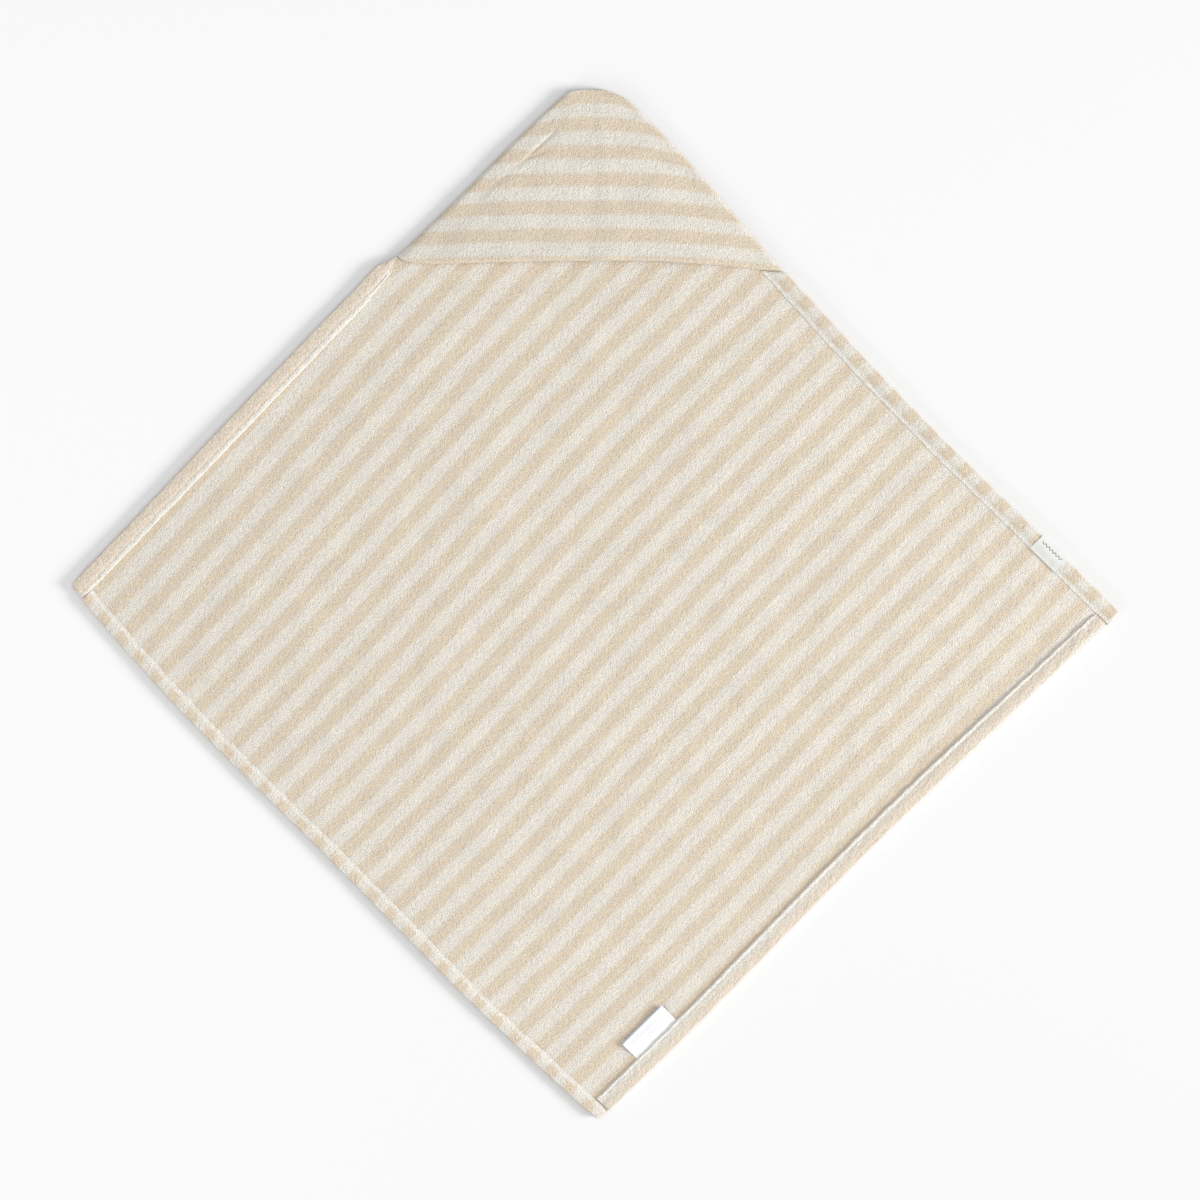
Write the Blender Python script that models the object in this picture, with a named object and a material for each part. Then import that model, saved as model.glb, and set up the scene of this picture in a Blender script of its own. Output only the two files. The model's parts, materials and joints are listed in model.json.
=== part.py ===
"""Hooded baby towel, laid flat with its hood at the top.

Metres, +Z up, +Y from the foot corner to the hood's tip, +X to the right.
The origin is on the surface the towel lies on, under the middle of its outline.
The cloth is one terry square turned by about 45 degrees. Its four corners fold over,
so each corner is a rigid panel of its own that turns about a fold line, and the hems and
stitching that cross a fold line are parted there too.
"""
import math

import bmesh
import bpy
from mathutils import Vector

# The towel as it lies
LEFT_CORNER = Vector((-0.5309, 0.0174))
RIGHT_CORNER = Vector((0.5302, -0.0101))
FOOT_CORNER = Vector((0.0030, -0.5229))
CLOTH = 0.003  # one layer of terry
GAP = 0.0003  # between layers that touch
SEAM_GAP = 0.0009  # between the two hood layers where they are sewn, room for the seam thread
SIDE_STEPS = 24  # straight lengths in each side

# How far each side bows outwards: half wave, full wave and one and a half waves
BOWS = {
    "upper_left": (0.0134, -0.0032, 0.0003),
    "upper_right": (-0.0006, 0.0037, 0.0017),
    "lower_right": (-0.0049, -0.0018, 0.0009),
    "lower_left": (0.0100, -0.0010, 0.0023),
}

# Hems: width at the ends and in the middle, and how far in the stitching runs
HEMS = {
    "upper_left": {"ends": 0.0170, "middle": 0.0170, "stitch": 0.0130},
    "upper_right": {"ends": 0.0150, "middle": 0.0150, "stitch": 0.0132},
    "lower_right": {"ends": 0.0130, "middle": 0.0168, "stitch": 0.0115},
    "lower_left": {"ends": 0.0130, "middle": 0.0130, "stitch": 0.0112},
}
HEM_FULLNESS = 0.6  # power of the half wave that widens a hem: the lower, the sooner
THREAD = 0.0007
HEM_BASE = CLOTH + GAP
HEM_TOP = HEM_BASE + CLOTH

# Fold lines: how far each one is from the origin, and the height of its axis
NECK_Y = 0.318
FOOT_Y = -0.270
WING_X = 0.270
FOLD_HEIGHT = 0.0085
FOLD_GAP = 0.0006
HEM_REGIONS = {
    "upper_left": ("middle", "left_corner", "hood_corner"),
    "upper_right": ("middle", "right_corner", "hood_corner"),
    "lower_right": ("middle", "right_corner", "foot_corner"),
    "lower_left": ("middle", "left_corner", "foot_corner"),
}
CORNER_CLEARANCE = 0.004  # share of a side that a hem stops short of the corner
BUTT_GAP = 0.0015  # between a hem's end and the hem that runs past it
SHOULDER = 0.006  # share of a side from the end of the hemmed edge to the hood's edge
HOOD_END = 0.010  # share of a side from the end of a hem to the hood's edge

# The hood: its outer edge from the left end of the mouth over the tip to the right end
HOOD_LEFT_EDGE = [
    (-0.1950, 0.3490), (-0.1410, 0.4080), (-0.0900, 0.4590),
    (-0.0365, 0.5100), (-0.0220, 0.5180), (-0.0080, 0.5200),
]
HOOD_RIGHT_EDGE = [
    (0.1905, 0.3355), (0.1700, 0.3580), (0.1277, 0.4080), (0.0831, 0.4590),
    (0.0527, 0.4895), (0.0304, 0.5105), (0.0100, 0.5195),
]
MOUTH_RISE = 0.0045  # the middle of the mouth above the straight line between its ends
MOUTH_LEAN = -0.9  # how far that rise leans to the left
HOOD_COLUMNS = 20
HOOD_ROWS = 12
EDGE_STEPS = 24  # straight lengths in each of the hood's outer edges
SPLINE_STEPS = 16
TIP_ORIGIN = (0.0, 0.5185, 0.0036)
POCKET_HEIGHT = 0.0115  # how far the middle of the mouth stands off the towel
POCKET_SQUARENESS = 2.4  # power of the pocket's rise from a seam to its middle
POCKET_TAPER = 1.2  # power of its fall from the mouth to the tip
MOUTH_HEM = 0.012
MOUTH_HEM_THICK = 0.0022
MOUTH_HEM_SKIP = 3  # columns at each end where the hem has no room under the dome
MOUTH_THREAD_SKIP = 1
LAYER_CLEARANCE = 0.0005  # between a curved layer and the one it follows
SEAM_THREAD_THICK = 0.0004
HOOD_SEAM_INSET = 0.006
SEAM_STEPS = 24  # straight lengths of a whole hood edge that its seam thread follows
SEAM_SKIP_MOUTH = 1  # of those lengths, left out at the mouth
SEAM_SKIP_TIP = 4  # and at the tip

# Labels: where they start along their side, how long they are and how far they reach in
BRAND_LABEL = {"side": "upper_right", "start": 0.6514, "length": 0.0356, "depth": 0.0150}
CARE_LABEL = {"side": "lower_right", "start": 0.6087, "length": 0.0558, "depth": 0.0218}
LABEL_THICK = 0.0004
LABEL_CLEARANCE = 0.0006  # from the brand label's wall to the hem's outer edge
LABEL_OVER = 2 * GAP + THREAD  # from the hem to the brand label, with the stitching between
LABEL_FLOOR = 0.0006  # how high the brand label's wall stands off the surface
CARE_HINGE = 0.0025  # from the hem to the line where the free pages start to turn
CARE_STEP = 0.0012  # how much further the back page reaches than the front one

BEIGE = (0.700, 0.590, 0.450, 1.0)
CREAM = (0.770, 0.720, 0.650, 1.0)
MIXED = (0.735, 0.660, 0.555, 1.0)
OFF_WHITE = (0.800, 0.790, 0.740, 1.0)
WHITE = (0.880, 0.885, 0.900, 1.0)


def clear_scene():
    for item in list(bpy.data.objects):
        bpy.data.objects.remove(item)


def material(name, color, roughness):
    made = bpy.data.materials.new(name)
    made.use_nodes = True
    shader = made.node_tree.nodes["Principled BSDF"]
    shader.inputs["Base Color"].default_value = color
    shader.inputs["Roughness"].default_value = roughness
    shader.inputs["Metallic"].default_value = 0.0
    return made


def add_object(name, mesh_data, color, roughness=0.95, origin=None):
    """Links a closed bmesh as an object whose origin is on its own fold or hinge line."""
    bmesh.ops.recalc_face_normals(mesh_data, faces=mesh_data.faces)
    at = Vector(origin or (0.0, 0.0, 0.0))
    bmesh.ops.translate(mesh_data, verts=mesh_data.verts, vec=-at)
    mesh = bpy.data.meshes.new(name)
    mesh_data.to_mesh(mesh)
    mesh_data.free()
    mesh.materials.append(material(name, color, roughness))
    item = bpy.data.objects.new(name, mesh)
    item.location = at
    bpy.context.scene.collection.objects.link(item)
    return item


# The plan: corners, sides and regions


# The top corner is where the cloth's corner would be if the hood didn't round it off
CORNERS = {
    "left": LEFT_CORNER,
    "top": LEFT_CORNER + RIGHT_CORNER - FOOT_CORNER,
    "right": RIGHT_CORNER,
    "foot": FOOT_CORNER,
}
SIDES = {
    "upper_left": ("left", "top"),
    "upper_right": ("top", "right"),
    "lower_right": ("right", "foot"),
    "lower_left": ("foot", "left"),
}


def side_frame(side):
    """The start, length, direction and outward normal of a side, going clockwise."""
    start, end = (CORNERS[name] for name in SIDES[side])
    run = end - start
    direction = run.normalized()
    return start, run.length, direction, Vector((-direction.y, direction.x))


def side_point(side, share, inset=0.0):
    start, length, direction, outward = side_frame(side)
    waves = enumerate(BOWS[side], 1)
    bow = sum(size * math.sin(number * math.pi * share) for number, size in waves)
    return start + direction * length * share + outward * (bow - inset)


def hem_width(side, share):
    hem = HEMS[side]
    return hem["ends"] + (hem["middle"] - hem["ends"]) * math.sin(math.pi * share) ** HEM_FULLNESS


def share_near(side, point):
    start, length, direction, _ = side_frame(side)
    return (Vector(point) - start).dot(direction) / length


def steps(low, high, count):
    return [low + (high - low) * index / count for index in range(count + 1)]


def smooth_line(points, count):
    """A Catmull-Rom curve through points, sampled at equal steps along its length."""
    line = [Vector(p) for p in points]
    line = [line[0] * 2 - line[1]] + line + [line[-1] * 2 - line[-2]]
    fine = []
    for a, b, c, d in zip(line, line[1:], line[2:], line[3:]):
        for t in steps(0.0, 1.0, SPLINE_STEPS)[:-1]:
            slope = (c - a) * t
            square = (a * 2 - b * 5 + c * 4 - d) * t ** 2
            cube = (b * 3 - a - c * 3 + d) * t ** 3
            fine.append(b + (slope + square + cube) * 0.5)
    fine.append(line[-2])
    return resample(fine, count)


def resample(fine, count):
    """count equal steps along a line of many short lengths."""
    runs = [0.0]
    for a, b in zip(fine, fine[1:]):
        runs.append(runs[-1] + (b - a).length)
    out = []
    index = 0
    for want in steps(0.0, runs[-1], count):
        while index < len(fine) - 2 and runs[index + 1] < want:
            index += 1
        span = runs[index + 1] - runs[index]
        out.append(fine[index].lerp(fine[index + 1], (want - runs[index]) / span))
    return out


def hood_row(height, columns):
    """A row of points across the hood: height 0 is the mouth and 1 is the tip."""
    left = smooth_line(HOOD_LEFT_EDGE, EDGE_STEPS)
    right = smooth_line(HOOD_RIGHT_EDGE, EDGE_STEPS)
    index = round(height * EDGE_STEPS)
    ends = left[index], right[index]
    row = []
    for share in steps(0.0, 1.0, columns):
        point = ends[0].lerp(ends[1], share)
        point.y += mouth_sag(share) * (1 - height) ** 2
        row.append(point)
    return row


def mouth_sag(share):
    """How far the mouth's edge stands off the straight line between its ends."""
    return MOUTH_RISE * math.sin(math.pi * share) * (1 + MOUTH_LEAN * (share - 0.5))


def pocket(share, height):
    """The gap between the hood's two layers, 0 at the seams and largest at the mouth."""
    across = 1 - abs(2 * share - 1) ** POCKET_SQUARENESS
    return SEAM_GAP + POCKET_HEIGHT * across * (1 - height) ** POCKET_TAPER


def outline():
    """The towel's outline, clockwise from its left corner, with the hood's edge in it."""
    left_end, right_end = HOOD_LEFT_EDGE[0], HOOD_RIGHT_EDGE[0]
    reach = {
        "upper_left": (0.0, share_near("upper_left", left_end) - SHOULDER),
        "upper_right": (share_near("upper_right", right_end) + SHOULDER, 1.0),
        "lower_right": (0.0, 1.0),
        "lower_left": (0.0, 1.0),
    }
    line = []
    for side, (low, high) in reach.items():
        points = [side_point(side, share) for share in steps(low, high, SIDE_STEPS)]
        line += points if side == "upper_left" else points[:-1]
        if side == "upper_left":
            line += smooth_line(HOOD_LEFT_EDGE, EDGE_STEPS)
            line += reversed(smooth_line(HOOD_RIGHT_EDGE, EDGE_STEPS))
    return line[:-1] if (line[0] - line[-1]).length < GAP else line


# Which side of which fold line each panel lies on: a point on the line and the way it keeps


def regions():
    folds = {
        "hood_corner": (Vector((0.0, NECK_Y)), Vector((0.0, 1.0))),
        "left_corner": (Vector((-WING_X, 0.0)), Vector((-1.0, 0.0))),
        "right_corner": (Vector((WING_X, 0.0)), Vector((1.0, 0.0))),
        "foot_corner": (Vector((0.0, FOOT_Y)), Vector((0.0, -1.0))),
    }
    made = {"middle": [(point - way * FOLD_GAP / 2, -way) for point, way in folds.values()]}
    for name, (point, way) in folds.items():
        made[name] = [(point + way * FOLD_GAP / 2, way)]
    return made


REGIONS = regions()


def clipped(polygon, region):
    """The part of a polygon that lies in a region."""
    for point, way in REGIONS[region]:
        kept = []
        for a, b in zip(polygon, polygon[1:] + polygon[:1]):
            depth_a, depth_b = (a - point).dot(way), (b - point).dot(way)
            if depth_a >= 0:
                kept.append(a)
            if depth_a * depth_b < 0:
                kept.append(a.lerp(b, depth_a / (depth_a - depth_b)))
        polygon = kept
    return polygon


# Solids


def plate(name, polygon, low, high, color, origin=None):
    """A flat closed plate with the polygon's outline, from height low to high."""
    made = bmesh.new()
    face = made.faces.new([made.verts.new((p.x, p.y, low)) for p in polygon])
    lifted = bmesh.ops.extrude_face_region(made, geom=[face])
    top = [item for item in lifted["geom"] if isinstance(item, bmesh.types.BMVert)]
    bmesh.ops.translate(made, verts=top, vec=(0.0, 0.0, high - low))
    bmesh.ops.triangulate(made, faces=[f for f in made.faces if len(f.verts) > 4])
    return add_object(name, made, color, origin=origin)


def band(side, low, high, inset, width):
    """The plan of a strip along a side: inset and width are functions of the share."""
    shares = steps(low, high, SIDE_STEPS)
    outer = [side_point(side, share, inset(share)) for share in shares]
    inner = [side_point(side, share, inset(share) + width(share)) for share in shares]
    return outer + inner[::-1]


def curved_layer(name, rows, bottoms, tops, color, origin=None):
    """A closed layer over a grid of plan points, with its own bottom and top heights."""
    made = bmesh.new()
    low = [[made.verts.new((*p, z)) for p, z in zip(*pair)] for pair in zip(rows, bottoms)]
    high = [[made.verts.new((*p, z)) for p, z in zip(*pair)] for pair in zip(rows, tops)]
    for grid in (low, high):
        for near, far in zip(grid, grid[1:]):
            for a, b, c, d in zip(near, near[1:], far[1:], far):
                made.faces.new((a, b, c, d))
    rims = []
    for grid in (low, high):
        sides = [row[-1] for row in grid[1:-1]], [row[0] for row in grid[1:-1]]
        rims.append(grid[0] + sides[0] + grid[-1][::-1] + sides[1][::-1])
    ends = [rim[1:] + rim[:1] for rim in rims]
    for a, b, c, d in zip(rims[0], ends[0], ends[1], rims[1]):
        made.faces.new((a, b, c, d))
    bmesh.ops.triangulate(made, faces=made.faces)
    return add_object(name, made, color, origin=origin)


# Sub-parts

FOLD_ORIGINS = {
    "middle": (0.0, 0.0, 0.0),
    "hood_corner": (0.0, NECK_Y, FOLD_HEIGHT),
    "left_corner": (-WING_X, 0.0, FOLD_HEIGHT),
    "right_corner": (WING_X, 0.0, FOLD_HEIGHT),
    "foot_corner": (0.0, FOOT_Y, FOLD_HEIGHT),
}


def towel_panels():
    for region, origin in FOLD_ORIGINS.items():
        polygon = clipped(outline(), region)
        plate(f"towel_{region}", polygon, 0.0, CLOTH, MIXED, origin)


def hem_reach(side):
    """Where a hem starts and ends along its side. One hem of each pair runs through."""
    if side == "upper_left":
        return CORNER_CLEARANCE, share_near(side, HOOD_LEFT_EDGE[0]) - HOOD_END
    if side == "upper_right":
        return share_near(side, HOOD_RIGHT_EDGE[0]) + HOOD_END, 1.0 - CORNER_CLEARANCE
    _, length, _, _ = side_frame(side)
    through = {"lower_right": "upper_right", "lower_left": "upper_left"}[side]
    butt = (HEMS[through]["ends"] + BUTT_GAP) / length
    if side == "lower_right":
        across_foot = (HEMS["lower_left"]["ends"] + BUTT_GAP) / length
        return butt, 1.0 - across_foot
    return CORNER_CLEARANCE, 1.0 - butt


def hems_and_stitching():
    """The turned-over edge of each side and the thread that holds it, parted at the folds."""
    colors = {"upper_left": BEIGE, "lower_right": CREAM}
    for side, regions_crossed in HEM_REGIONS.items():
        low, high = hem_reach(side)
        turned = band(side, low, high, lambda share: 0.0, lambda share: hem_width(side, share))
        inset = HEMS[side]["stitch"]
        sewn = band(side, low, high, lambda share: inset, lambda share: THREAD)
        for region in regions_crossed:
            origin = FOLD_ORIGINS[region]
            color = colors.get(side, MIXED)
            plate(f"hem_{side}_{region}", clipped(turned, region), HEM_BASE, HEM_TOP, color, origin)
            base = HEM_TOP + GAP
            thread = clipped(sewn, region)
            plate(f"thread_{side}_{region}", thread, base, base + THREAD, OFF_WHITE, origin)


def hood_front():
    """The hood's front panel: a low dome of one layer that meets the towel at its seams."""
    rows, bottoms, tops = [], [], []
    for height in steps(0.0, 1.0, HOOD_ROWS):
        rows.append(hood_row(height, HOOD_COLUMNS))
        gaps = [pocket(share, height) for share in steps(0.0, 1.0, HOOD_COLUMNS)]
        bottoms.append([CLOTH + gap for gap in gaps])
        tops.append([2 * CLOTH + gap for gap in gaps])
    curved_layer("hood_front_panel", rows, bottoms, tops, MIXED, TIP_ORIGIN)


def mouth_strip(name, depths, skip, floor, thick, color):
    """A strip along the hood's mouth, under or over the front panel's first row.

    It leaves out skip columns at each end and lies floor above the panel's underside.
    """
    near, far = hood_row(0.0, HOOD_COLUMNS), hood_row(1 / HOOD_ROWS, HOOD_COLUMNS)
    columns = range(skip, HOOD_COLUMNS - skip + 1)
    rows, bottoms, tops = [], [], []
    for depth in depths:
        row, bottom = [], []
        for column in columns:
            start, end, share = near[column], far[column], column / HOOD_COLUMNS
            height = depth / (end.y - start.y)
            gap_near, gap_far = pocket(share, 0.0), pocket(share, 1 / HOOD_ROWS)
            row.append(start.lerp(end, height))
            bottom.append(CLOTH + gap_near + (gap_far - gap_near) * height + floor)
        rows.append(row)
        bottoms.append(bottom)
        tops.append([z + thick for z in bottom])
    curved_layer(name, rows, bottoms, tops, color, TIP_ORIGIN)


def hood_mouth():
    """The mouth's hem, turned under the front panel, and its row of stitches on top."""
    under = -LAYER_CLEARANCE - MOUTH_HEM_THICK
    depths = (0.0, MOUTH_HEM)
    mouth_strip("hood_mouth_hem", depths, MOUTH_HEM_SKIP, under, MOUTH_HEM_THICK, BEIGE)
    over = CLOTH + LAYER_CLEARANCE
    depths = (MOUTH_HEM - THREAD, MOUTH_HEM)
    mouth_strip("thread_hood_mouth", depths, MOUTH_THREAD_SKIP, over, THREAD, OFF_WHITE)


def hood_seams():
    """The threads that sew the front panel to the towel, inside the turned seam."""
    for name, edge in (("left", HOOD_LEFT_EDGE), ("right", HOOD_RIGHT_EDGE)):
        whole = smooth_line(edge, SEAM_STEPS)
        line = whole[SEAM_SKIP_MOUTH:len(whole) - SEAM_SKIP_TIP - 1]
        aim = Vector((0.0, edge[0][1]))
        ways = [(aim - p).normalized() for p in line]
        outer = [p + way * HOOD_SEAM_INSET for p, way in zip(line, ways)]
        inner = [p + way * (HOOD_SEAM_INSET + THREAD) for p, way in zip(line, ways)]
        base = CLOTH + GAP / 2
        top = base + SEAM_THREAD_THICK
        origin = FOLD_ORIGINS["hood_corner"]
        plate(f"thread_hood_seam_{name}", outer + inner[::-1], base, top, OFF_WHITE, origin)


def brand_label():
    """A woven tag sewn over the hem: a flat top and a wall down the hem's outer edge."""
    _, length, _, _ = side_frame(BRAND_LABEL["side"])
    share = BRAND_LABEL["start"] / length
    corner = side_point(BRAND_LABEL["side"], share)
    end = side_point(BRAND_LABEL["side"], share + BRAND_LABEL["length"] / length)
    along = (end - corner).normalized() * BRAND_LABEL["length"]
    out = Vector((-along.y, along.x)).normalized()
    top = HEM_TOP + LABEL_OVER + LABEL_THICK
    profile = [
        (-BRAND_LABEL["depth"], top - LABEL_THICK), (LABEL_CLEARANCE, top - LABEL_THICK),
        (LABEL_CLEARANCE, LABEL_FLOOR), (LABEL_CLEARANCE + LABEL_THICK, LABEL_FLOOR),
        (LABEL_CLEARANCE + LABEL_THICK, top), (-BRAND_LABEL["depth"], top),
    ]
    made = bmesh.new()
    points = [corner + out * reach for reach, _ in profile]
    face = made.faces.new([made.verts.new((*p, z)) for p, (_, z) in zip(points, profile)])
    moved = bmesh.ops.extrude_face_region(made, geom=[face])
    far = [item for item in moved["geom"] if isinstance(item, bmesh.types.BMVert)]
    bmesh.ops.translate(made, verts=far, vec=(*along, 0.0))
    add_object("brand_label", made, OFF_WHITE, origin=FOLD_ORIGINS["right_corner"])


def care_label():
    """Two loose pages sewn into the hem, one on the other, that turn up off the towel."""
    side = CARE_LABEL["side"]
    _, length, _, _ = side_frame(side)
    low = CARE_LABEL["start"] / length
    high = low + CARE_LABEL["length"] / length
    ends = [side_point(side, share, hem_width(side, share) + CARE_HINGE) for share in (low, high)]
    along = (ends[1] - ends[0]).normalized()
    inward = Vector((along.y, -along.x))
    for name, level, extra in (("back", 0, CARE_STEP), ("front", 1, 0.0)):
        reach = inward * (CARE_LABEL["depth"] - CARE_HINGE + extra)
        polygon = [ends[0], ends[1], ends[1] + reach, ends[0] + reach]
        low_z = HEM_BASE + level * (LABEL_THICK + GAP)
        origin = (*ends[0].lerp(ends[1], 0.5), low_z)
        plate(f"care_label_{name}_page", polygon, low_z, low_z + LABEL_THICK, WHITE, origin)


clear_scene()
towel_panels()
hems_and_stitching()
hood_front()
hood_mouth()
hood_seams()
brand_label()
care_label()
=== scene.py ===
"""Hooded baby towel: striped terry with turned hems, stitching, a hood and two labels.

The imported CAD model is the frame. Every piece here is fine cloth geometry on the same plan:
a terry square turned by about 45 degrees, whose four sides bow a little and whose top
corner is the hood. s runs along the stripes from the lower left to the upper right side
and t runs across them, both from 0 to 1. The UV map "cloth" holds metres on the cloth, so
stripes and pile stay on it when it bends.
"""
import json
import math

import bmesh
import bpy
import numpy as np
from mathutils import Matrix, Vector


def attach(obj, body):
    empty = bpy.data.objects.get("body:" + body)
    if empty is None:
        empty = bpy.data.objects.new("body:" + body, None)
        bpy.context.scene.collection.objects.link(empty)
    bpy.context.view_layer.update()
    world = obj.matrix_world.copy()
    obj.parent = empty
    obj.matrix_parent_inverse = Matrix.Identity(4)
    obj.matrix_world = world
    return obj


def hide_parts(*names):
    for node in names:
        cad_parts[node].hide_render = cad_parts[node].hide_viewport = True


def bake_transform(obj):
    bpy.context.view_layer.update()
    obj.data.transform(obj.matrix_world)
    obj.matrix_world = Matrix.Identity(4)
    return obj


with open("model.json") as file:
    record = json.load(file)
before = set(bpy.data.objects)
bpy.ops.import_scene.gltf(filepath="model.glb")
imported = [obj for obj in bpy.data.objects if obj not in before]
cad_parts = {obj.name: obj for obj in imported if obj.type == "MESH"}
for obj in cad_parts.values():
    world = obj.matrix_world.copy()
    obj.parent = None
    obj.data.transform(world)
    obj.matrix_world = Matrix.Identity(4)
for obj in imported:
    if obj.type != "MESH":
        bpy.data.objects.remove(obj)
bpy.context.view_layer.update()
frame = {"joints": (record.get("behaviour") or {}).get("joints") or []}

JOINT_AT = {joint["name"]: Vector(joint["pos_m"]) for joint in frame["joints"]}

# The plan, as in the CAD part, apart from the lower right bow, the hood's left edge and the
# mouth, which were measured again and differ by a few millimetres
LEFT_CORNER = np.array([-0.5309, 0.0174])
RIGHT_CORNER = np.array([0.5302, -0.0101])
FOOT_CORNER = np.array([0.0030, -0.5229])
CORNERS = {
    "left": LEFT_CORNER,
    "top": LEFT_CORNER + RIGHT_CORNER - FOOT_CORNER,
    "right": RIGHT_CORNER,
    "foot": FOOT_CORNER,
}
SIDE_ALONG = float(np.linalg.norm(FOOT_CORNER - RIGHT_CORNER))
SIDE_ACROSS = float(np.linalg.norm(FOOT_CORNER - LEFT_CORNER))
BOWS = {
    "upper_left": (0.0134, -0.0032, 0.0003),
    "upper_right": (-0.0006, 0.0037, 0.0017),
    "lower_right": (-0.0038, -0.0015, 0.0009),
    "lower_left": (0.0100, -0.0010, 0.0023),
}
HOOD_LEFT_EDGE = [
    (-0.2005, 0.3508), (-0.1410, 0.4080), (-0.0900, 0.4590),
    (-0.0365, 0.5100), (-0.0270, 0.5176), (-0.0080, 0.5197),
]
HOOD_RIGHT_EDGE = [
    (0.1905, 0.3355), (0.1700, 0.3580), (0.1277, 0.4080), (0.0831, 0.4590),
    (0.0527, 0.4895), (0.0304, 0.5105), (0.0100, 0.5195),
]
HOOD_TIP = (0.0010, 0.5201)
MOUTH = [
    (-0.2005, 0.3508), (-0.1930, 0.3455), (-0.1779, 0.3438), (-0.1576, 0.3431),
    (-0.1171, 0.3441), (-0.0765, 0.3452), (-0.0200, 0.3459), (0.0451, 0.3461),
    (0.0856, 0.3442), (0.1262, 0.3416), (0.1667, 0.3375), (0.1905, 0.3355),
]

# The cloth
CLOTH = 0.003
CLOTH_LOW = 0.0002  # the underside of the cloth where it lies flat
CELL = 0.003  # spacing of the cloth's mesh
RIM = 0.0015  # radius of the cloth's own edge, inside the hems
GAP = 0.0003  # between layers that touch
EDGE_INSET = 0.0009  # from the outline to the cloth's edge, room for the hem that wraps it
STRIPE = 0.0258  # one beige and one cream stripe
# Stripe count over the cloth: constant, t, t squared, s, s squared, s times t
STRIPE_COUNT = (-1.776, 28.549, 1.018, 0.094, 0.986, -0.529)
HOOD_STRIPE = 0.0282
HOOD_STRIPE_Y = 0.3710  # middle of the lowest whole beige stripe of the hood

# Zones round the corner joints: half their length on each side of a joint's axis
FOLDS = {
    "hood_corner": ("hood_lift", (0, 1), 0.016),
    "left_corner": ("left_corner_wrap", (-1, 0), 0.014),
    "right_corner": ("right_corner_wrap", (1, 0), 0.014),
    "foot_corner": ("foot_corner_fold", (0, -1), 0.014),
}

# Hems: width at the ends and in the middle, where the stitching runs, how wavy the edge is,
# and how flush the inner edge lies with the cloth
HEMS = {side: dict(zip(("ends", "middle", "stitch", "puckers", "flush"), row)) for side, row in {
    "upper_left": (0.0182, 0.0190, 0.0128, 0.6, 0.25),
    "upper_right": (0.0178, 0.0178, 0.0155, 0.8, 1.0),
    "lower_right": (0.0166, 0.0182, 0.0140, 0.9, 0.40),
    "lower_left": (0.0140, 0.0140, 0.0122, 1.1, 1.0),
}.items()}
HEM_HALVES = {
    "upper_left": (("left_corner", 0.0, 0.538), ("hood_corner", 0.538, 0.6360)),
    "upper_right": (("hood_corner", 0.3635, 0.455), ("right_corner", 0.455, 1.0)),
    "lower_right": (("right_corner", 0.0, 0.5), ("foot_corner", 0.5, 1.0)),
    "lower_left": (("foot_corner", 0.0, 0.5), ("left_corner", 0.5, 1.0)),
}
HEM_STEP = 0.0016  # spacing of a hem's sections
HEM_FULLNESS = 0.6  # power of the half wave that widens a hem: the lower, the sooner
HEM_TOP = 0.0062  # height of a hem's top above the surface
HEM_UNDER = CLOTH + GAP  # the underside of the turned part, above the cloth
NARROWING = (0.54, 0.09, 0.0050)  # the upper left hem, near the hood: share, reach, size
# The fold round the cloth's edge: centre and half size, inwards and upwards
WRAP = (0.0006, 0.0011, 0.00325, 0.00295)
HEM_DROP = 0.0025  # how much lower than its top a flush hem's inner edge lies
BUTT = 0.0002  # between a hem's end and the hem that runs past it
NOSES = {  # length over which a hem's first and last end close, 0 where it butts on another
    "upper_left": (0.0022, 0.0160),
    "upper_right": (0.0060, 0.0022),
    "lower_right": (0.0100, 0.0100),
    "lower_left": (0.0022, 0.0),
}
CORNER_ROUND = 0.0048  # radius of the three open corners
STITCH, STITCH_GAP = 0.0026, 0.0012  # a stitch's length and the gap after it

# The hood's front panel
POCKET = 0.0070  # how far the middle of the mouth stands off the towel
LIP = 0.0024  # radius of the mouth's folded edge
HOOD_CELL = 0.0022
HOOD_HEIGHT = 0.172
MOUTH_SPAN = 0.385
MOUTH_HEM = 0.0125
SEAM_HEIGHT = 0.0024  # where the hood's two faces meet at a seam

# Labels: where they start along their side, how long they are and how far the tag reaches in
TAG_START, TAG_LENGTH, TAG_DEPTH, TAG_THICK = 0.6490, 0.0356, 0.0170, 0.00035
CARE_START, CARE_LENGTH = 0.6087, 0.0558
PAGE_HALF = 0.00013  # half a page's thickness

PHOTO_WIDTH = 1.2162  # metres across the photo, 1.0135 mm for each of its 1200 pixels


def smoothstep(x):
    x = np.clip(x, 0.0, 1.0)
    return x * x * (3 - 2 * x)


def rounded(distance, radius):
    """0 at an edge, 1 from radius inwards, along a quarter circle."""
    x = np.clip(distance / radius, 0.0, 1.0)
    return np.sqrt(np.clip(1 - (1 - x) ** 2, 0.0, 1.0))


def soft_noise(x, y, size, seed):
    """Smooth value noise from -1 to 1 whose blobs are about size metres across."""
    table = np.random.default_rng(seed).uniform(-1, 1, (256, 256))
    x, y = x / size + 512.0, y / size + 512.0
    column, row = np.floor(x).astype(int), np.floor(y).astype(int)
    fx, fy = smoothstep(x - column), smoothstep(y - row)
    value = [[table[(row + j) % 256, (column + i) % 256] for i in (0, 1)] for j in (0, 1)]
    low = value[0][0] * (1 - fx) + value[0][1] * fx
    high = value[1][0] * (1 - fx) + value[1][1] * fx
    return low * (1 - fy) + high * fy


# The plan


SIDES = {
    "upper_left": ("left", "top"),
    "upper_right": ("top", "right"),
    "lower_right": ("right", "foot"),
    "lower_left": ("foot", "left"),
}


def side_length(side):
    return SIDE_ALONG if side in ("upper_left", "lower_right") else SIDE_ACROSS


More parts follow.
